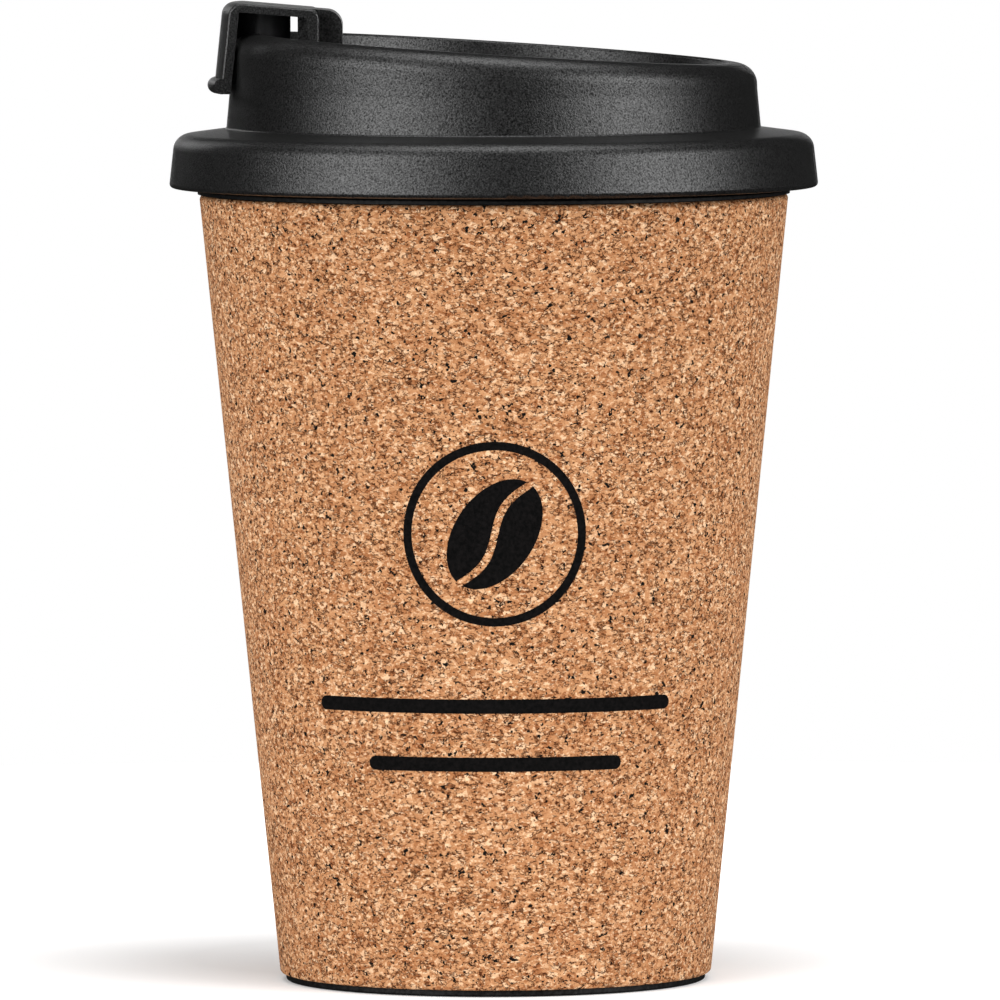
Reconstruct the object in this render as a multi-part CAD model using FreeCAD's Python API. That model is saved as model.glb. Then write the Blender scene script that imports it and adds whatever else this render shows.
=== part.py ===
import FreeCAD, Part
import math
import os

# Cork-clad travel cup with a screw-on lid and a flip stopper. Millimetres, +Z up.
# Origin: centre of the base, on the surface the cup stands on. The drinking side faces -X.

V = FreeCAD.Vector

# ---- Overall sizes -------------------------------------------------------------------------
BODY_H = 111.7          # standing surface to the top of the outer shell
TOP_R = 41.8            # outside radius of the cork at its top
FOOT_R = 30.6           # outside radius of the cork at its foot

# ---- Walls of the cup ----------------------------------------------------------------------
CORK_T = 1.4            # cork sheet
SHELL_T = 1.2           # outer shell wall
AIR_GAP = 1.6           # air between shell and liner
LINER_T = 1.4           # liner wall
BASE_LIP_H = 0.94       # black lip that shows under the cork
BASE_LIP_R = 29.8       # radius of that lip
BASE_T = 1.5            # thickness of the base plate
BASE_HOLLOW = 0.9       # depth of the hollow under the base
FOOT_W = 4.6            # width of the standing ring
PLUG_IN_H = 3.6         # height of the base's upstand inside the shell
PLUG_IN_T = 1.5         # thickness of that upstand
CORK_TOP_GAP = 0.15     # shadow gap between the cork and the collar
CORK_EDGE_R = 0.6       # rounding of the cork's ends
SEAM_W = 0.3            # butt seam of the cork sheet, at the back
LINER_FLOOR = 7.0       # inside floor of the liner above the standing surface
LINER_FLOOR_R = 7.0     # inside rounding between floor and wall
SPIGOT_H = 4.5          # length of the liner seated in the shell

# ---- Collar and neck of the liner ----------------------------------------------------------
COLLAR_T = 0.6          # collar that rests on the shell
COLLAR_OUT = 0.2        # collar radius beyond the top of the cork
NECK_H = 5.6            # neck above the collar
NECK_IN_STEP = 3.2      # neck bore radius, inside the top radius of the cork
NECK_T = 1.8            # neck wall
FLARE_H = 3.4           # height of the flare from the liner wall to the neck bore
LIP_R = 0.6             # rounding of the neck's lip

# ---- Screw thread --------------------------------------------------------------------------
LEAD = 8.0              # rise of the lid in one turn
STARTS = 2              # ridges on each piece
CUP_RIDGE_DEG = 140.0   # arc of one ridge on the neck
LID_RIDGE_DEG = 80.0    # arc of one ridge in the lid
RIDGE_ROOT_W = 1.4      # axial width of a ridge at its wall
RIDGE_TIP_W = 0.7       # axial width of a ridge at its crest
RIDGE_SINK = 0.4        # depth that a ridge is merged into its wall
THREAD_PLAY = 0.25      # axial play between the ridges
RIDGE_TIP_CLEAR = 0.6   # radial clearance of each ridge's crest
RIDGE_FOOT_Z = 0.45     # lowest neck ridge edge above the collar
LID_BORE_GAP = 2.9      # lid bore radius beyond the neck

# ---- Lid -----------------------------------------------------------------------------------
SKIRT_GAP = 0.3         # skirt above the collar
SKIRT_OUT = 2.75        # skirt radius beyond the lid bore, at the foot
SKIRT_DRAFT = 0.098     # skirt taper, mm per mm
SKIRT_FOOT_R = 0.6      # rounding of the skirt's foot
SKIRT_TOP_R = 2.35      # rounding of the skirt's shoulder
SEAL_SPACE = 1.3        # space over the neck's lip for the seal
LEDGE_T = 1.75          # ledge thickness where it meets the dome
LEDGE_FALL = 0.131      # slope of the ledge, mm per mm
RIB_CLEAR = 0.7         # dome rib inside the neck bore, radial
RIB_H = 2.1             # rib below the neck's lip
LID_T = 1.6             # wall of dome and recess
DOME_BEND_H = 5.4       # height of the dome's steeper foot
DOME_BEND_IN = 0.5      # inset of the dome over that height
DOME_DRAFT = 0.03       # dome taper above it, mm per mm
CREST_RISE = 11.35      # crest above the ledge, on the axis
CREST_FALL = 0.065      # crest falls towards +X, mm per mm
CREST_R = 3.0           # outside rounding of the crest
CREST_FLAT = 0.8        # flat between that rounding and the recess edge
CREST_IN_R = 0.45       # inside rounding of the crest
RECESS_D = 12.8         # depth of the recess below the crest
RECESS_TAPER = 0.24     # recess wall taper, mm per mm
RECESS_R = 4.0          # rounding between recess wall and floor
VENT_R = 0.75           # air vent
VENT_IN = 8.0           # vent to the foot of the recess wall

# ---- Sip spout -----------------------------------------------------------------------------
SIP_IN = 0.88           # sip hole axis inside the recess edge
SIP_R = 3.5             # sip hole
SIP_WALL = 1.52         # spout wall beside the hole, towards the hinge
SIP_SIDE_W = 1.8        # spout wall at the sides
SPOUT_DROP = 1.2        # spout top below the crest plane, at the hole
POCKET_CLEAR = 0.25     # pocket around the stopper, radial

# ---- Hinge ---------------------------------------------------------------------------------
HINGE_GAP = 0.35        # barrel to spout
BARREL_R = 2.3          # hinge barrel of the flip cap
HINGE_DROP = 3.0        # hinge axis below the spout top
PIN_R = 1.5             # hinge pin
PIN_CLEAR = 0.05        # running clearance of the barrel on the pin
EAR_T = 2.0             # thickness of each hinge ear
EAR_RIM = 1.1           # ear around the pin
EAR_GAP = 0.35          # ear to flip cap
EAR_FOOT = 1.6          # spread of the ear's foot

# ---- Flip cap ------------------------------------------------------------------------------
CAP_W = 18.5            # width of the flip cap
CAP_T = 1.2             # top plate
CAP_RISE = 4.25         # cap top above the crest plane, at the tab
CAP_FALL = 0.085        # cap top falls towards +X, mm per mm
CAP_CORNER_R = 1.8      # rounding between top and tab
TAB_GAP = 0.85          # tab to dome, at the tab's end
TAB_T = 1.4             # tab thickness
TAB_DROP = 12.9         # tab end below the cap top
TAB_LEAN = 0.104        # tab leans inward going up, mm per mm
TAB_END_R = 0.5         # rounding of the tab's end
BEAD_R = 1.1            # finger bead along the outside of the tab's end
BEAD_SINK = 0.1         # bead axis inside the tab's outer face
LEG_T = 1.7             # leg between top plate and barrel
LEG_R = 1.4             # rounding over the leg
LEG_OUT = 0.3           # leg face beyond the hinge axis
BLOCK_W = 10.0          # middle block over the hinge
BLOCK_BACK = 2.8        # block in front of the hinge axis
BLOCK_OUT = 3.5         # block behind the hinge axis
BLOCK_R = 2.3           # rounding of the block
BLOCK_SILL = 1.7        # back of the block ends this far above the hinge axis
BLOCK_CLEAR = 0.35      # block above the spout
EDGE_R = 0.35           # rounding of the cap's long edges

# ---- Stopper -------------------------------------------------------------------------------
POST_R = 3.8            # stopper body
TIP_CLEAR = 0.2         # stopper tip in the sip hole, radial
SEAT_CLEAR = 0.15       # stopper shoulder above the spout
TIP_H = 2.4             # tapered tip
TIP_TAPER = 0.42        # taper of the tip, mm per mm
TIP_R = 0.6             # rounding of the tip
STUD_R = 1.6            # stud of the cap inside the stopper
STUD_H = 2.2            # length of that stud

# ---- Seal ----------------------------------------------------------------------------------
SEAL_CLEAR = 0.15       # seal to lip, lid and rib
SEAL_EDGE_R = 0.3       # rounding of the seal

# ---- Derived levels and radii --------------------------------------------------------------
taper = (TOP_R - FOOT_R) / (BODY_H - BASE_LIP_H)
collar_z = BODY_H + COLLAR_T
lip_z = collar_z + NECK_H
neck_bore_r = TOP_R - NECK_IN_STEP
neck_r = neck_bore_r + NECK_T
bore_r = neck_r + LID_BORE_GAP
rib_r = neck_bore_r - RIB_CLEAR
skirt_z = collar_z + SKIRT_GAP
ledge_under_z = lip_z + SEAL_SPACE
ledge_z = ledge_under_z + LEDGE_T
crest_z = ledge_z + CREST_RISE
dome_r = rib_r
rim_r = dome_r - DOME_BEND_IN - DOME_DRAFT * CREST_RISE / 2
recess_r = rim_r - CREST_R - CREST_FLAT
sip_x = -(recess_r - SIP_IN)
spout_z = crest_z - CREST_FALL * sip_x - SPOUT_DROP
spout_x = sip_x + SIP_R + SIP_WALL
hinge_x = spout_x + HINGE_GAP + BARREL_R
hinge_z = spout_z - HINGE_DROP
cap_z = crest_z + CREST_FALL * rim_r + CAP_RISE
cap_end_z = cap_z - TAB_DROP
TALL = 60.0             # reach of cutting shapes beyond the object


def cap_top(x):
    """Height of the flip cap's top surface at x."""
    return cap_z - CAP_FALL * (x + rim_r)


def dome_at(z):
    """Outside radius of the dome's upper wall at height z."""
    return dome_r - DOME_BEND_IN - DOME_DRAFT * (z - ledge_z - DOME_BEND_H)


def cone_at(z, inset):
    """Radius of the body's cone at height z, inset from the cork's outside."""
    return TOP_R - taper * (BODY_H - z) - inset


def outline(points):
    """Closed wire in the XZ plane from (x, z) or (x, z, radius) corners."""
    spots = [V(p[0], 0, p[1]) for p in points]
    radii = [p[2] if len(p) > 2 else 0.0 for p in points]
    count = len(points)
    corners = []
    for i in range(count):
        here = spots[i]
        if radii[i] <= 0:
            corners.append((here, None, here))
            continue
        back = spots[i - 1].sub(here).normalize()
        ahead = spots[(i + 1) % count].sub(here).normalize()
        half = back.getAngle(ahead) / 2
        mid = back.add(ahead).normalize()
        start = here.add(V(back).multiply(radii[i] / math.tan(half)))
        end = here.add(V(ahead).multiply(radii[i] / math.tan(half)))
        top = here.add(V(mid).multiply(radii[i] / math.sin(half) - radii[i]))
        corners.append((start, top, end))
    edges = []
    for i in range(count):
        start, top, end = corners[i]
        if top is not None:
            edges.append(Part.Arc(start, top, end).toShape())
        following = corners[(i + 1) % count][0]
        if end.distanceToPoint(following) > 1e-6:
            edges.append(Part.LineSegment(end, following).toShape())
    return Part.Wire(edges)


def turned(points, degrees=360.0):
    """Solid of revolution about Z."""
    return Part.Face(outline(points)).revolve(V(0, 0, 0), V(0, 0, 1), degrees)


def slab(points, y0, y1):
    """XZ outline extruded from y0 to y1."""
    face = Part.Face(outline(points))
    face.translate(V(0, y0, 0))
    return face.extrude(V(0, y1 - y0, 0))


def block(x0, x1, y0, y1, z0, z1):
    return Part.makeBox(x1 - x0, y1 - y0, z1 - z0, V(x0, y0, z0))


def tilted(shape, fall, z):
    """Place a shape drawn about the origin on a plane that falls towards +X and crosses the axis at z."""
    shape.rotate(V(0, 0, 0), V(0, 1, 0), math.degrees(math.atan(fall)))
    shape.translate(V(0, 0, z))
    return shape


def above(fall, z):
    """Everything above a plane that falls towards +X."""
    side = 3 * TOP_R
    return tilted(block(-side, side, -side, side, 0, 3 * TALL), fall, z)


def rounded_top(solid, fall, z, radius):
    """Trim a turned solid by a falling plane, then round the edge that this makes."""
    trimmed = solid.cut(above(fall, z))
    drop = math.cos(math.atan(fall))
    rim = [
        e
        for e in trimmed.Edges
        if all(abs((v.Point.z + fall * v.Point.x - z) * drop) < 1e-4 for v in e.Vertexes)
        and e.BoundBox.XLength > TOP_R
    ]
    return trimmed.makeFillet(radius, rim)


def ridge(root_r, tip_r, foot_z, degrees, start_deg):
    """One thread ridge as a solid swept along a helix. foot_z is its middle at its low end."""
    sunk_r = root_r - RIDGE_SINK if tip_r > root_r else root_r + RIDGE_SINK
    path = Part.makeHelix(LEAD, LEAD * degrees / 360.0, root_r)
    grow = (RIDGE_ROOT_W - RIDGE_TIP_W) / abs(tip_r - root_r) * RIDGE_SINK
    root = (RIDGE_ROOT_W + grow) / 2
    tip = RIDGE_TIP_W / 2
    section = outline([(sunk_r, -root), (tip_r, -tip), (tip_r, tip), (sunk_r, root)])
    swept = Part.Wire(path).makePipeShell([section], True, True)
    swept.translate(V(0, 0, foot_z))
    swept.rotate(V(0, 0, 0), V(0, 0, 1), start_deg)
    return swept


def eased(solid, half_width, keep):
    """Round the long edges at y = +/- half_width that keep() picks out."""
    picked = []
    for e in solid.Edges:
        ends = [v.Point for v in e.Vertexes]
        middle = e.valueAt((e.FirstParameter + e.LastParameter) / 2)
        at_side = all(abs(abs(p.y) - half_width) < 1e-4 for p in ends + [middle])
        if at_side and all(keep(p) for p in ends + [middle]):
            picked.append(e)
    return solid.makeFillet(EDGE_R, picked)


def along_y(radius, x, z, half_width):
    return Part.makeCylinder(radius, 2 * half_width, V(x, -half_width, z), V(0, 1, 0))


# ---- Cork sleeve ---------------------------------------------------------------------------
cork_top = BODY_H - CORK_TOP_GAP
cork_sleeve = turned([
    (cone_at(BASE_LIP_H, CORK_T), BASE_LIP_H),
    (cone_at(BASE_LIP_H, 0), BASE_LIP_H, CORK_EDGE_R),
    (cone_at(cork_top, 0), cork_top, CORK_EDGE_R),
    (cone_at(cork_top, CORK_T), cork_top),
])
cork_sleeve = cork_sleeve.cut(block(-SEAM_W / 2, SEAM_W / 2, 0, 2 * TOP_R, 0, 2 * BODY_H))

# ---- Outer shell ---------------------------------------------------------------------------
shell_in = CORK_T + SHELL_T
outer_shell = turned([
    (cone_at(BASE_LIP_H, shell_in), BASE_LIP_H),
    (cone_at(BASE_LIP_H, CORK_T), BASE_LIP_H),
    (cone_at(BODY_H, CORK_T), BODY_H),
    (cone_at(BODY_H, shell_in), BODY_H),
])

# ---- Base ----------------------------------------------------------------------------------
upstand_z = BASE_LIP_H + PLUG_IN_H
plate_z = BASE_HOLLOW + BASE_T
base_cap = turned([
    (0, BASE_HOLLOW),
    (BASE_LIP_R - FOOT_W - 0.6, BASE_HOLLOW),
    (BASE_LIP_R - FOOT_W, 0),
    (BASE_LIP_R, 0, BASE_LIP_H / 3),
    (BASE_LIP_R, BASE_LIP_H),
    (cone_at(BASE_LIP_H, shell_in), BASE_LIP_H),
    (cone_at(upstand_z, shell_in), upstand_z),
    (cone_at(upstand_z, shell_in + PLUG_IN_T), upstand_z),
    (cone_at(plate_z, shell_in + PLUG_IN_T), plate_z),
    (0, plate_z),
])

# ---- Inner liner ---------------------------------------------------------------------------
liner_out = shell_in + AIR_GAP
liner_in = liner_out + LINER_T
spigot_z = BODY_H - SPIGOT_H
under_z = LINER_FLOOR - LINER_T
flare_z = BODY_H - FLARE_H
inner_liner = turned([
    (0, under_z),
    (cone_at(under_z, liner_out), under_z, LINER_FLOOR_R + LINER_T),
    (cone_at(spigot_z, liner_out), spigot_z),
    (cone_at(spigot_z, shell_in), spigot_z),
    (cone_at(BODY_H, shell_in), BODY_H),
    (TOP_R + COLLAR_OUT, BODY_H),
    (TOP_R + COLLAR_OUT, collar_z, COLLAR_T / 3),
    (neck_r, collar_z),
    (neck_r, lip_z, LIP_R),
    (neck_bore_r, lip_z, LIP_R),
    (neck_bore_r, BODY_H),
    (cone_at(flare_z, liner_in), flare_z),
    (cone_at(LINER_FLOOR, liner_in), LINER_FLOOR, LINER_FLOOR_R),
    (0, LINER_FLOOR),
])
ridge_z = collar_z + RIDGE_FOOT_Z + RIDGE_ROOT_W / 2
cup_ridge_tip = bore_r - RIDGE_TIP_CLEAR
lid_ridge_tip = neck_r + RIDGE_TIP_CLEAR
for start in range(STARTS):
    turn = 360.0 / STARTS * start
    inner_liner = inner_liner.fuse(ridge(neck_r, cup_ridge_tip, ridge_z, CUP_RIDGE_DEG, turn))

# ---- Lid -----------------------------------------------------------------------------------
skirt_r = bore_r + SKIRT_OUT
shoulder_r = skirt_r - SKIRT_DRAFT * (ledge_z - skirt_z)
shoulder_z = ledge_z - LEDGE_FALL * (shoulder_r - dome_r)
bend_z = ledge_z + DOME_BEND_H
top_z = crest_z + CREST_FALL * TOP_R + TALL
outside = turned([
    (0, skirt_z),
    (skirt_r, skirt_z, SKIRT_FOOT_R),
    (shoulder_r, shoulder_z, SKIRT_TOP_R),
    (dome_r, ledge_z, 0.4),
    (dome_at(bend_z), bend_z),
    (dome_at(top_z), top_z),
    (0, top_z),
])
lid = rounded_top(outside, CREST_FALL, crest_z, CREST_R)


def recess(grown):
    """The dished recess, with its wall and floor moved outward by grown."""
    spread = grown * math.sqrt(1 + RECESS_TAPER ** 2)
    depth = RECESS_D + grown
    shape = turned([
        (0, -depth),
        (recess_r + spread - RECESS_TAPER * depth, -depth, RECESS_R + grown),
        (recess_r + spread, 0),
        (recess_r + spread, CREST_R + grown),
        (0, CREST_R + grown),
    ])
    return tilted(shape, CREST_FALL, crest_z)


lid = lid.cut(recess(0))
inner_rim = [
    e
    for e in lid.Edges
    if e.Curve.TypeId == "Part::GeomCircle" and abs(e.Curve.Radius - recess_r) < 1e-3 and e.Length > TOP_R
]
lid = lid.makeFillet(CREST_IN_R, inner_rim)

recess_body = recess(LID_T)
hollow = turned([
    (0, skirt_z - 1),
    (dome_r - LID_T, skirt_z - 1),
    (dome_r - LID_T, ledge_z),
    (dome_at(bend_z) - LID_T, bend_z),
    (dome_at(top_z) - LID_T, top_z),
    (0, top_z),
])
hollow = rounded_top(hollow, CREST_FALL, crest_z - LID_T, CREST_R - LID_T).cut(recess_body)
rib_z = lip_z - RIB_H
seal_seat = turned([
    (dome_r, rib_z - 1),
    (bore_r, rib_z - 1),
    (bore_r, ledge_under_z, 0.5),
    (dome_r, ledge_under_z),
])
mouth = Part.makeCylinder(bore_r, rib_z - skirt_z + 1, V(0, 0, skirt_z - 1))
lid = lid.cut(hollow).cut(seal_seat).cut(mouth)

spout_half = SIP_R + SIP_SIDE_W
floor_low = crest_z - RECESS_D - CREST_FALL * recess_r - LID_T
spout = block(sip_x - spout_half, spout_x, -spout_half, spout_half, floor_low, spout_z).common(recess_body)
lid = lid.fuse(spout)
lid = lid.cut(Part.makeCylinder(POST_R + POCKET_CLEAR, TALL, V(sip_x, 0, spout_z)))
lid = lid.cut(Part.makeCylinder(SIP_R, spout_z - skirt_z + 2, V(sip_x, 0, skirt_z - 1)))

ear_in = CAP_W / 2 + EAR_GAP
ear_out = ear_in + EAR_T
ear_r = PIN_R + EAR_RIM
for side in (-1, 1):
    y0 = min(side * ear_in, side * ear_out)
    y1 = max(side * ear_in, side * ear_out)
    web = slab([
        (hinge_x - ear_r, hinge_z),
        (hinge_x - ear_r - EAR_FOOT, floor_low),
        (hinge_x + ear_r + EAR_FOOT, floor_low),
        (hinge_x + ear_r, hinge_z),
    ], y0, y1)
    eye = Part.makeCylinder(ear_r, EAR_T, V(hinge_x, y0, hinge_z), V(0, 1, 0))
    lid = lid.fuse(web.fuse(eye).common(recess_body))
lid = lid.cut(along_y(PIN_R, hinge_x, hinge_z, ear_out + 1))

vent_x = recess_r - RECESS_TAPER * RECESS_D - VENT_IN
lid = lid.cut(Part.makeCylinder(VENT_R, crest_z - skirt_z, V(vent_x, 0, skirt_z)))

ridge_pitch = (RIDGE_ROOT_W + RIDGE_TIP_W) / 2 + THREAD_PLAY
arc_gap = CUP_RIDGE_DEG - LID_RIDGE_DEG
lid_ridge_z = ridge_z - ridge_pitch + LEAD * arc_gap / 360.0
for start in range(STARTS):
    turn = 360.0 / STARTS * start + arc_gap
    lid = lid.fuse(ridge(bore_r, lid_ridge_tip, lid_ridge_z, LID_RIDGE_DEG, turn))
lid_body = lid

# ---- Seal ----------------------------------------------------------------------------------
seal_out = neck_r + SEAL_CLEAR
lid_seal = turned([
    (rib_r + SEAL_CLEAR, lip_z + SEAL_CLEAR, SEAL_EDGE_R),
    (seal_out, lip_z + SEAL_CLEAR, SEAL_EDGE_R),
    (seal_out, ledge_under_z - SEAL_CLEAR, SEAL_EDGE_R),
    (rib_r + SEAL_CLEAR, ledge_under_z - SEAL_CLEAR, SEAL_EDGE_R),
])

# ---- Flip cap ------------------------------------------------------------------------------
half_cap = CAP_W / 2
tab_end_r = dome_at(cap_end_z) + TAB_GAP


def tab_at(z, beyond):
    """Radius of the tab's inner face at height z, plus beyond."""
    return tab_end_r + beyond - TAB_LEAN * (z - cap_end_z)


cap_axis_z = cap_top(0)
far_z = cap_z + TALL
envelope = turned([
    (0, cap_end_z),
    (tab_at(cap_end_z, TAB_T), cap_end_z, TAB_END_R),
    (tab_at(far_z, TAB_T), far_z),
    (0, far_z),
])
envelope = rounded_top(envelope, CAP_FALL, cap_axis_z, CAP_CORNER_R)
inside = turned([
    (0, cap_end_z - 1),
    (tab_at(cap_end_z - 1, 0), cap_end_z - 1),
    (tab_at(far_z, 0), far_z),
    (0, far_z),
]).cut(above(CAP_FALL, cap_axis_z - CAP_T))
tab_root_x = -rim_r + 2 * CAP_CORNER_R
tab = envelope.common(block(-2 * TOP_R, tab_root_x, -half_cap, half_cap, cap_end_z, far_z))
tab = eased(tab, half_cap, lambda p: p.z > cap_end_z + TAB_END_R - 1e-3 and (
    p.x < tab_root_x - 1e-3 or p.z > cap_top(p.x) - 1e-3))
tab = tab.cut(inside)

leg_x = hinge_x + LEG_OUT
leg_in_x = leg_x - LEG_T
plate = slab([
    (tab_root_x, cap_top(tab_root_x)),
    (leg_x, cap_top(leg_x), LEG_R),
    (leg_x, hinge_z),
    (leg_in_x, hinge_z),
    (leg_in_x, cap_top(leg_in_x) - CAP_T, CAP_T / 2),
    (tab_root_x, cap_top(tab_root_x) - CAP_T),
], -half_cap, half_cap)
plate = eased(plate, half_cap, lambda p: p.z > cap_top(p.x) - LEG_R - 1e-3 and (
    p.x > leg_x - LEG_R - 1e-3 or p.z > cap_top(p.x) - 1e-3) or p.x > leg_x - 1e-3)
middle_z = spout_z + BLOCK_CLEAR
middle = slab([
    (hinge_x - BLOCK_BACK, middle_z),
    (hinge_x - BLOCK_BACK, cap_top(hinge_x - BLOCK_BACK) - CAP_T / 2),
    (leg_in_x, cap_top(leg_in_x)),
    (hinge_x + BLOCK_OUT, cap_top(hinge_x + BLOCK_OUT), BLOCK_R),
    (hinge_x + BLOCK_OUT, hinge_z + BLOCK_SILL, BLOCK_SILL / 3),
    (hinge_x + BARREL_R - 0.4, hinge_z),
    (hinge_x - BARREL_R + 0.4, hinge_z),
    (hinge_x - BARREL_R + 0.4, middle_z),
], -BLOCK_W / 2, BLOCK_W / 2)
bead_z = cap_end_z + BEAD_R
bead = Part.makeTorus(tab_at(bead_z, TAB_T - BEAD_SINK), BEAD_R, V(0, 0, bead_z))
bead = bead.common(block(-2 * TOP_R, 0, -half_cap, half_cap, cap_end_z - TALL, cap_end_z + TALL))
stud = Part.makeCylinder(STUD_R, STUD_H + CAP_T / 2, V(sip_x, 0, cap_top(sip_x) - CAP_T - STUD_H))
flip_cap = tab.multiFuse([plate, middle, bead, stud, along_y(BARREL_R, hinge_x, hinge_z, half_cap)])
flip_cap = flip_cap.removeSplitter()
flip_cap = flip_cap.cut(along_y(PIN_R + PIN_CLEAR, hinge_x, hinge_z, half_cap + 1))

# ---- Stopper -------------------------------------------------------------------------------
seat_z = spout_z + SEAT_CLEAR
tip_r = SIP_R - TIP_CLEAR
stopper_plug = turned([
    (0, seat_z - TIP_H),
    (tip_r - TIP_TAPER * TIP_H, seat_z - TIP_H, TIP_R),
    (tip_r, seat_z),
    (POST_R, seat_z, 0.3),
    (POST_R, far_z),
    (0, far_z),
])
stopper_plug.translate(V(sip_x, 0, 0))
stopper_plug = stopper_plug.cut(above(CAP_FALL, cap_axis_z - CAP_T))
stopper_plug = stopper_plug.cut(stud)

# ---- Hinge pin -----------------------------------------------------------------------------
hinge_pin = along_y(PIN_R, hinge_x, hinge_z, ear_out)

# ---- Write every piece ---------------------------------------------------------------------
pieces = {
    "inner_liner": inner_liner,
    "outer_shell": outer_shell,
    "cork_sleeve": cork_sleeve,
    "base_cap": base_cap,
    "lid_body": lid_body,
    "lid_seal": lid_seal,
    "flip_cap": flip_cap,
    "stopper_plug": stopper_plug,
    "hinge_pin": hinge_pin,
}
os.makedirs("parts", exist_ok=True)
for name, shape in pieces.items():
    solid = shape.Solids[0] if len(shape.Solids) == 1 else shape
    box = solid.BoundBox
    print(name, len(shape.Solids), "solid", solid.isValid(), round(solid.Volume, 1),
          "x", round(box.XMin, 2), round(box.XMax, 2), "z", round(box.ZMin, 2), round(box.ZMax, 2))
    solid.exportStep(os.path.join("parts", name + ".step"))
print("hinge", round(hinge_x, 3), round(hinge_z, 3), "sip", round(sip_x, 3), "spout", round(spout_z, 3))
print("crest", round(crest_z, 3), "ledge", round(ledge_z, 3), "rim", round(rim_r, 3), "recess", round(recess_r, 3))
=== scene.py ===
import math

import bmesh
import bpy
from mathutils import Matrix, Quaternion, Vector


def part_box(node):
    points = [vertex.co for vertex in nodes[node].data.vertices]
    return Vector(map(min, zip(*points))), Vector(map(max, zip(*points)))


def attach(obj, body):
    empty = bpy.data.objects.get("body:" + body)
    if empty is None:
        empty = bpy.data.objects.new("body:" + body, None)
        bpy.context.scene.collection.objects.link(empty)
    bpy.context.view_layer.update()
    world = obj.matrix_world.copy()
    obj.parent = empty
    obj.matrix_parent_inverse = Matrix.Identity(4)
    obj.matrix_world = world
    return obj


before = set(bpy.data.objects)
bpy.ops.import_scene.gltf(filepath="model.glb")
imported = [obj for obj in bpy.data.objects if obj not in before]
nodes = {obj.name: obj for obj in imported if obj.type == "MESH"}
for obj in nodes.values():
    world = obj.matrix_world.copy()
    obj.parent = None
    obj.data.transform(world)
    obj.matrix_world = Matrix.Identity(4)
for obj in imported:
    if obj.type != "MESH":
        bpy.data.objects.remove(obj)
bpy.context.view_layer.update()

scene = bpy.context.scene
scene.view_settings.view_transform = "Standard"


# ---- Node helpers --------------------------------------------------------------------------
def new_material(name):
    mat = bpy.data.materials.new(name)
    mat.use_nodes = True
    tree = mat.node_tree
    tree.nodes.clear()
    out = tree.nodes.new("ShaderNodeOutputMaterial")
    bsdf = tree.nodes.new("ShaderNodeBsdfPrincipled")
    tree.links.new(bsdf.outputs["BSDF"], out.inputs["Surface"])
    return mat, tree, bsdf


def coords(tree, scale=(1, 1, 1)):
    """Object coordinates in metres, squeezed by scale."""
    place = tree.nodes.new("ShaderNodeTexCoord")
    stretch = tree.nodes.new("ShaderNodeMapping")
    stretch.inputs["Scale"].default_value = scale
    tree.links.new(place.outputs["Object"], stretch.inputs["Vector"])
    return stretch.outputs["Vector"]


def noise(tree, vector, scale, detail=2.0, rough=0.5):
    n = tree.nodes.new("ShaderNodeTexNoise")
    n.inputs["Scale"].default_value = scale
    n.inputs["Detail"].default_value = detail
    n.inputs["Roughness"].default_value = rough
    tree.links.new(vector, n.inputs["Vector"])
    return n


def voronoi(tree, vector, scale, feature="F1"):
    n = tree.nodes.new("ShaderNodeTexVoronoi")
    n.feature = feature
    n.inputs["Scale"].default_value = scale
    tree.links.new(vector, n.inputs["Vector"])
    return n


def ramp(tree, value, stops):
    """Colour from a value, through stops of (value, colour)."""
    n = tree.nodes.new("ShaderNodeValToRGB")
    while len(n.color_ramp.elements) < len(stops):
        n.color_ramp.elements.new(0.5)
    for element, (at, colour) in zip(n.color_ramp.elements, stops):
        element.position = at
        element.color = (*colour, 1.0)
    tree.links.new(value, n.inputs["Fac"])
    return n.outputs["Color"]


def spread(tree, value, low, high, to_low, to_high):
    """Value from low to high, remapped to run from to_low to to_high and held there."""
    n = tree.nodes.new("ShaderNodeMapRange")
    n.inputs["From Min"].default_value = low
    n.inputs["From Max"].default_value = high
    n.inputs["To Min"].default_value = to_low
    n.inputs["To Max"].default_value = to_high
    tree.links.new(value, n.inputs["Value"])
    return n.outputs["Result"]


def feed(tree, socket, value):
    """Link a socket to another one, or set it to a colour or a number."""
    if isinstance(value, bpy.types.NodeSocket):
        tree.links.new(value, socket)
    elif isinstance(value, tuple):
        socket.default_value = (*value, 1.0)
    else:
        socket.default_value = value


def mix(tree, factor, a, b):
    n = tree.nodes.new("ShaderNodeMix")
    n.data_type = "RGBA"
    feed(tree, n.inputs["Factor"], factor)
    feed(tree, n.inputs["A"], a)
    feed(tree, n.inputs["B"], b)
    return n.outputs["Result"]


def maths(tree, kind, a, b):
    n = tree.nodes.new("ShaderNodeMath")
    n.operation = kind
    feed(tree, n.inputs[0], a)
    feed(tree, n.inputs[1], b)
    return n.outputs["Value"]


def vector_maths(tree, kind, *values):
    """Vector Math node; a tuple sets a vector, and a socket is linked."""
    n = tree.nodes.new("ShaderNodeVectorMath")
    n.operation = kind
    for socket, value in zip(n.inputs, values):
        if isinstance(value, tuple):
            socket.default_value = value
        else:
            tree.links.new(value, socket)
    return n


def bump(tree, bsdf, height, distance):
    n = tree.nodes.new("ShaderNodeBump")
    n.inputs["Distance"].default_value = distance
    n.inputs["Strength"].default_value = 1.0
    tree.links.new(height, n.inputs["Height"])
    tree.links.new(n.outputs["Normal"], bsdf.inputs["Normal"])


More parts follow.
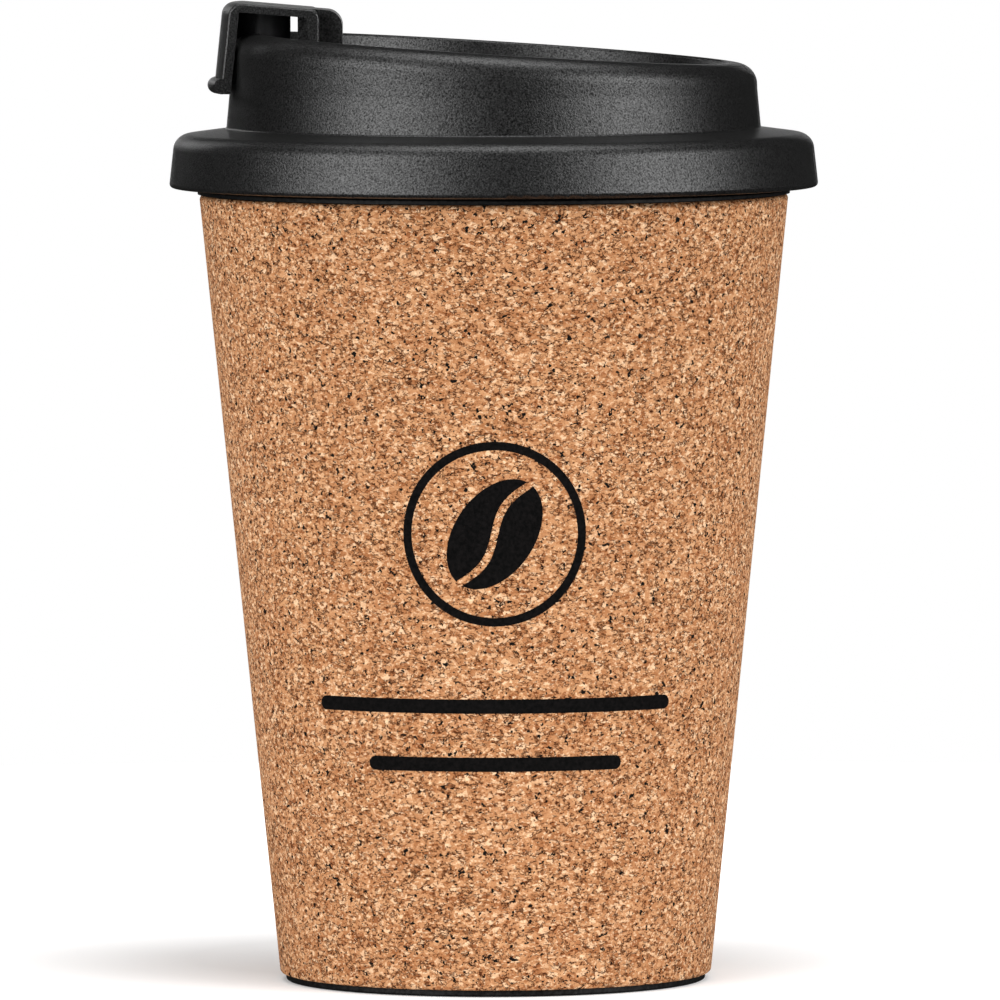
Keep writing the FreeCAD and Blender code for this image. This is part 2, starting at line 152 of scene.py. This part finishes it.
# ---- Materials -----------------------------------------------------------------------------
def moulded_black(name, grain, depth, rough, shine, dark=0.003, light=0.008):
    """Matte black polypropylene with the pebbled grain of a spark-eroded mould.

    The grain runs between the two values of rough, of shine, and between the dark and the light grey.
    """
    mat, tree, bsdf = new_material(name)
    at = coords(tree)
    pebble = noise(tree, at, grain, 3.0, 0.6)
    cloud = noise(tree, at, 90.0, 3.0, 0.6)
    tone = maths(tree, "ADD", maths(tree, "MULTIPLY", pebble.outputs["Fac"], 0.65),
                 maths(tree, "MULTIPLY", cloud.outputs["Fac"], 0.35))
    greys = [(0.32, (dark, dark, dark)), (0.68, (light, light, light))]
    tree.links.new(ramp(tree, tone, greys), bsdf.inputs["Base Color"])
    tree.links.new(spread(tree, pebble.outputs["Fac"], 0.3, 0.7, *rough), bsdf.inputs["Roughness"])
    bsdf.inputs["IOR"].default_value = 1.49
    gloss = spread(tree, pebble.outputs["Fac"], 0.32, 0.68, *shine)
    tree.links.new(gloss, bsdf.inputs["Specular IOR Level"])
    bump(tree, bsdf, pebble.outputs["Fac"], depth)
    return mat


def silicone_black(name):
    """Smooth, slightly dusty silicone rubber."""
    mat, tree, bsdf = new_material(name)
    at = coords(tree)
    dust = noise(tree, at, 700.0, 3.0, 0.6)
    tone = ramp(tree, dust.outputs["Fac"], [(0.35, (0.010, 0.010, 0.011)), (0.7, (0.022, 0.022, 0.023))])
    tree.links.new(tone, bsdf.inputs["Base Color"])
    tree.links.new(spread(tree, dust.outputs["Fac"], 0.3, 0.7, 0.42, 0.56), bsdf.inputs["Roughness"])
    bump(tree, bsdf, dust.outputs["Fac"], 0.00002)
    return mat


def drawn_steel(name):
    """Stainless rod with fine scratches along its length."""
    mat, tree, bsdf = new_material(name)
    streak = noise(tree, coords(tree, (6000, 200, 6000)), 1.0, 2.0)
    tone = ramp(tree, streak.outputs["Fac"], [(0.3, (0.42, 0.42, 0.43)), (0.7, (0.62, 0.62, 0.63))])
    tree.links.new(tone, bsdf.inputs["Base Color"])
    tree.links.new(spread(tree, streak.outputs["Fac"], 0.3, 0.7, 0.2, 0.36), bsdf.inputs["Roughness"])
    bsdf.inputs["Metallic"].default_value = 1.0
    bump(tree, bsdf, streak.outputs["Fac"], 0.00001)
    return mat


def ragged(tree, at, wobble_scale, reach):
    """Coordinates shaken by noise, so that the cells drawn on them get ragged outlines."""
    wobble = noise(tree, at, wobble_scale, 2.0, 0.6)
    centred = vector_maths(tree, "SUBTRACT", wobble.outputs["Color"], (0.5, 0.5, 0.5))
    moved = vector_maths(tree, "MULTIPLY_ADD", centred.outputs["Vector"], (reach, reach, reach), at)
    return moved.outputs["Vector"]


def cell_shade(tree, where, scale):
    """One random value for each cell."""
    cells = voronoi(tree, where, scale)
    split = tree.nodes.new("ShaderNodeSeparateColor")
    tree.links.new(cells.outputs["Color"], split.inputs["Color"])
    return split.outputs["Red"]


def pressed_cork(name):
    """Agglomerated cork: ragged granules of several tans with dark crevices that are partly painted shade,
    pale flecks that are partly a painted highlight, and black pits.
    """
    granules = 1250.0
    mat, tree, bsdf = new_material(name)
    at = coords(tree, (1.0, 1.0, 1.45))
    where = ragged(tree, at, 1500.0, 0.0013)
    colour = ramp(tree, cell_shade(tree, where, granules), [
        (0.00, (0.250, 0.090, 0.032)),
        (0.12, (0.350, 0.148, 0.059)),
        (0.50, (0.438, 0.207, 0.092)),
        (0.88, (0.515, 0.266, 0.127)),
        (1.00, (0.710, 0.465, 0.280)),
    ])
    fibre = noise(tree, coords(tree, (1.0, 1.0, 1.5)), 1700.0, 2.0, 0.65)
    # Pale where the fibre noise is high, which is where the bump rises: partly pale fibre, partly a painted
    # highlight on the raised tops.
    fleck_and_highlight = spread(tree, fibre.outputs["Fac"], 0.56, 0.66, 0.0, 0.75)
    colour = mix(tree, fleck_and_highlight, colour, (0.820, 0.570, 0.360))
    cloud = noise(tree, at, 170.0, 3.0, 0.6)
    patch = spread(tree, cloud.outputs["Fac"], 0.40, 0.68, 0.0, 0.20)
    colour = mix(tree, patch, colour, (0.300, 0.095, 0.030))
    edge = voronoi(tree, where, granules, feature="DISTANCE_TO_EDGE")
    broken = noise(tree, at, 1000.0, 2.0, 0.5)
    seam = maths(tree, "MULTIPLY", spread(tree, edge.outputs["Distance"], 0.02, 0.10, 1.0, 0.0),
                 spread(tree, broken.outputs["Fac"], 0.47, 0.57, 0.0, 0.95))
    colour = mix(tree, seam, colour, (0.075, 0.018, 0.004))
    # Dark where the fibre noise is low, which is where the bump sinks: partly the dark of the gaps, partly
    # painted shade in the low spots.
    crevice_and_shade = spread(tree, fibre.outputs["Fac"], 0.34, 0.41, 0.95, 0.0)
    colour = mix(tree, crevice_and_shade, colour, (0.070, 0.017, 0.004))
    blot = noise(tree, coords(tree, (1.0, 1.0, 1.1)), 1150.0, 2.0, 0.6)
    pit = spread(tree, blot.outputs["Fac"], 0.638, 0.655, 0.0, 1.0)
    colour = mix(tree, pit, colour, (0.006, 0.005, 0.004))
    tree.links.new(colour, bsdf.inputs["Base Color"])
    bsdf.inputs["Roughness"].default_value = 0.9
    bsdf.inputs["Specular IOR Level"].default_value = 0.08
    # The relief rises with the fibre noise and sinks along the seams, so the painted highlight sits on its
    # rises and the painted shade in its hollows.
    height = maths(tree, "SUBTRACT", fibre.outputs["Fac"], maths(tree, "MULTIPLY", seam, 0.6))
    bump(tree, bsdf, height, 0.00025)
    return mat


def printed_ink(name):
    """Black screen print, with a fine grain of its own in its tone and its relief."""
    mat, tree, bsdf = new_material(name)
    at = coords(tree)
    grain = noise(tree, at, 1800.0, 3.0, 0.6)
    blacks = [(0.35, (0.0015, 0.0015, 0.0015)), (0.75, (0.006, 0.005, 0.005))]
    tree.links.new(ramp(tree, grain.outputs["Fac"], blacks), bsdf.inputs["Base Color"])
    bsdf.inputs["Roughness"].default_value = 0.85
    bsdf.inputs["Specular IOR Level"].default_value = 0.06
    bump(tree, bsdf, grain.outputs["Fac"], 0.00004)
    return mat


def pale_floor(name):
    """White paper that glows by its own emission away from the object, a painted light that over-lights it,
    so that only the soft shadow round the base shows.
    """
    mat, tree, bsdf = new_material(name)
    at = coords(tree)
    faint = noise(tree, at, 3.0, 2.0)
    tone = ramp(tree, faint.outputs["Fac"], [(0.3, (0.79, 0.79, 0.79)), (0.7, (0.81, 0.81, 0.81))])
    tree.links.new(tone, bsdf.inputs["Base Color"])
    bsdf.inputs["Roughness"].default_value = 0.9
    bsdf.inputs["Specular IOR Level"].default_value = 0.0
    bsdf.inputs["Emission Color"].default_value = (1.0, 1.0, 1.0, 1.0)
    # Painted light: the floor's emission is nil within 30 mm of this point behind the cup and rises to 0.5
    # by 82 mm, so the lamps' shadow shows only there.
    shadow_middle = (-0.014, 0.034, 0.0)
    away = vector_maths(tree, "DISTANCE", at, shadow_middle)
    glow = spread(tree, away.outputs["Value"], 0.030, 0.082, 0.0, 0.50)
    tree.links.new(glow, bsdf.inputs["Emission Strength"])
    return mat


def dress(node, material):
    mesh = nodes[node].data
    mesh.materials.clear()
    mesh.materials.append(material)


lid_black = moulded_black("lid_black", grain=3900.0, depth=0.00006, rough=(0.30, 0.40), shine=(0.10, 1.05))
cap_black = moulded_black("cap_black", grain=3900.0, depth=0.00005, rough=(0.28, 0.38), shine=(0.10, 1.10))
cup_black = moulded_black("cup_black", grain=1800.0, depth=0.00004, rough=(0.45, 0.60), shine=(0.10, 0.35),
                          light=0.009)
dress("lid_body", lid_black)
dress("flip_cap", cap_black)
for name in ("inner_liner", "outer_shell", "base_cap"):
    dress(name, cup_black)
dress("cork_sleeve", pressed_cork("cork_granules"))
dress("lid_seal", silicone_black("seal_silicone_black"))
dress("stopper_plug", silicone_black("plug_silicone_black"))
dress("hinge_pin", drawn_steel("pin_drawn_steel"))


# ---- Printed mark: a generic bean in a ring with plain bars --------------------------------
cork_lo, cork_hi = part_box("cork_sleeve")
foot_z = cork_lo.z
top_z = cork_hi.z
top_r = cork_hi.x
foot_r = 0.0306         # radius of the cork at its foot


def cork_r(z):
    return foot_r + (top_r - foot_r) * (z - foot_z) / (top_z - foot_z)


def on_cork(x, z, lift=0.00006):
    """Point on the front of the cork, x measured round the surface from the middle."""
    r = cork_r(z)
    a = x / r
    r += lift
    return Vector((r * math.sin(a), -r * math.cos(a), z))


def inked(name, loops, material):
    """Thin printed film from closed loops of (x, z), the outline first and then its holes.

    It is cut into narrow strips before it is wrapped, so that it follows the cone of the cork.
    """
    curve = bpy.data.curves.new(name + "_flat", "CURVE")
    curve.dimensions = "2D"
    curve.fill_mode = "BOTH"
    for loop in loops:
        spline = curve.splines.new("POLY")
        spline.points.add(len(loop) - 1)
        for point, (x, z) in zip(spline.points, loop):
            point.co = (x, z, 0, 1)
        spline.use_cyclic_u = True
    flat = bpy.data.objects.new(name + "_flat", curve)
    scene.collection.objects.link(flat)
    bpy.context.view_layer.update()
    mesh = bpy.data.meshes.new_from_object(flat)
    bpy.data.objects.remove(flat)
    bm = bmesh.new()
    bm.from_mesh(mesh)
    strip_w = 0.0012
    xs = [v.co.x for v in bm.verts]
    cut = min(xs) + strip_w
    while cut < max(xs):
        geom = bm.verts[:] + bm.edges[:] + bm.faces[:]
        bmesh.ops.bisect_plane(bm, geom=geom, plane_co=(cut, 0, 0), plane_no=(1, 0, 0))
        cut += strip_w
    for v in bm.verts:
        v.co = on_cork(v.co.x, v.co.y)
    bmesh.ops.recalc_face_normals(bm, faces=bm.faces)
    if bm.faces and sum(f.normal.y for f in bm.faces) > 0:
        bmesh.ops.reverse_faces(bm, faces=bm.faces)
    bm.to_mesh(mesh)
    bm.free()
    mesh.name = name
    mesh.materials.clear()
    mesh.materials.append(material)
    piece = bpy.data.objects.new(name, mesh)
    scene.collection.objects.link(piece)
    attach(piece, "cup")


def circle(cz, r, count=72):
    turns = [2 * math.pi * i / count for i in range(count)]
    return [(r * math.cos(t), cz + r * math.sin(t)) for t in turns]


def bar(cz, length, thickness, count=10):
    """Bar with round ends."""
    r = thickness / 2
    points = []
    for side, base in ((1, -math.pi / 2), (-1, math.pi / 2)):
        for i in range(count + 1):
            t = base + math.pi * i / count
            points.append((side * (length / 2 - r) + r * math.cos(t), cz + r * math.sin(t)))
    return points


def bean_half(side, count=40):
    """One half of a coffee bean, split by a gently waved groove."""
    groove = []
    for i in range(count + 1):
        t = -1 + 2 * i / count
        groove.append((t * bean_l * 0.97, groove_wave * math.sin(math.pi * t) + side * groove_w))
    rim = []
    for i in range(1, count):
        t = math.pi * i / count
        rim.append((bean_l * math.cos(t), side * bean_w * math.sin(t)))
    c, s = math.cos(bean_tilt), math.sin(bean_tilt)
    return [(x * c - z * s, mark_z + x * s + z * c) for x, z in groove + rim]


mark_z = 0.0655         # middle of the ring above the floor
ring_r = 0.0130         # outside radius of the ring
ring_w = 0.0012         # width of the ring's line
bean_tilt = math.radians(55)
bean_l = 0.0086         # half the bean's length
bean_w = 0.0056         # half the bean's width
groove_w = 0.00055      # half the groove's width
groove_wave = 0.0011    # the groove's swing to each side
bar_h = 0.0020          # thickness of the bars
long_bar_z = 0.0412     # the bars above the floor, and their lengths
long_bar_l = 0.0540
short_bar_z = 0.0330
short_bar_l = 0.0370

ink = printed_ink("printed_ink")
inked("print_ring", [circle(mark_z, ring_r), circle(mark_z, ring_r - ring_w)], ink)
inked("print_bean_upper", [bean_half(1)], ink)
inked("print_bean_lower", [bean_half(-1)], ink)
inked("print_bar_long", [bar(long_bar_z, long_bar_l, bar_h)], ink)
inked("print_bar_short", [bar(short_bar_z, short_bar_l, bar_h)], ink)


# ---- Floor ---------------------------------------------------------------------------------
def plain_floor(radius=0.40, level=-0.00005):
    """A round white table top, a hair below the cup."""
    bm = bmesh.new()
    ring = [bm.verts.new((x, y, level)) for x, y in circle(0, radius, 96)]
    bm.faces.new(ring)
    mesh = bpy.data.meshes.new("studio_floor")
    bm.to_mesh(mesh)
    bm.free()
    mesh.materials.append(pale_floor("pale_floor"))
    floor = bpy.data.objects.new("studio_floor", mesh)
    floor.visible_glossy = False
    scene.collection.objects.link(floor)


plain_floor()


# ---- Light and camera ----------------------------------------------------------------------
def softbox(name, at, aim, width, height, watts):
    data = bpy.data.lights.new(name, "AREA")
    data.shape = "RECTANGLE"
    data.size = width
    data.size_y = height
    data.energy = watts
    lamp = bpy.data.objects.new(name, data)
    lamp.location = at
    lamp.rotation_mode = "QUATERNION"
    lamp.rotation_quaternion = (Vector(aim) - Vector(at)).to_track_quat("-Z", "Y")
    scene.collection.objects.link(lamp)
    return lamp


aim = (0.0, 0.0, 0.085)
softbox("key_left", (-0.928, -0.867, 0.43), aim, 1.15, 0.80, 14.5)
softbox("fill_right", (1.08, -0.63, 0.43), aim, 1.05, 0.80, 13.5)
softbox("top_soft", (0.0, -0.10, 1.20), aim, 1.20, 0.80, 9.5)
softbox("rim_left", (-0.65, 1.12, 0.50), aim, 0.30, 0.45, 0.8)
back_glow = softbox("back_glow", (0.0, 1.5, 0.20), aim, 0.64, 0.34, 0.8)
back_glow.visible_camera = False


def studio_world(fill=0.34, mirrored=0.03):
    """White behind the object, dimmer as the room's fill light and dimmer still in reflections."""
    world = bpy.data.worlds.new("studio_world")
    world.use_nodes = True
    tree = world.node_tree
    backdrop = tree.nodes["Background"]
    backdrop.inputs["Strength"].default_value = 1.0
    path = tree.nodes.new("ShaderNodeLightPath")
    room = mix(tree, path.outputs["Is Diffuse Ray"], (mirrored, mirrored, mirrored), (fill, fill, fill))
    shown = mix(tree, path.outputs["Is Camera Ray"], room, (1.0, 1.0, 1.0))
    tree.links.new(shown, backdrop.inputs["Color"])
    scene.world = world


def studio_camera(stand, target, roll):
    """Long lens from a little above the lid, turned about its own axis by roll."""
    data = bpy.data.cameras.new("camera")
    data.sensor_width = 36.0
    data.lens = 529.8
    data.clip_start = 0.05
    data.clip_end = 50.0
    camera = bpy.data.objects.new("camera", data)
    scene.collection.objects.link(camera)
    camera.rotation_mode = "QUATERNION"
    look = (target - stand).to_track_quat("-Z", "Y")
    camera.rotation_quaternion = look @ Quaternion((0.0, 0.0, 1.0), roll)
    camera.location = stand
    scene.camera = camera


studio_world()
studio_camera(Vector((0.0, -2.086, 0.1922)), Vector((0.00077, 0.0, 0.06808)), math.radians(-0.14))
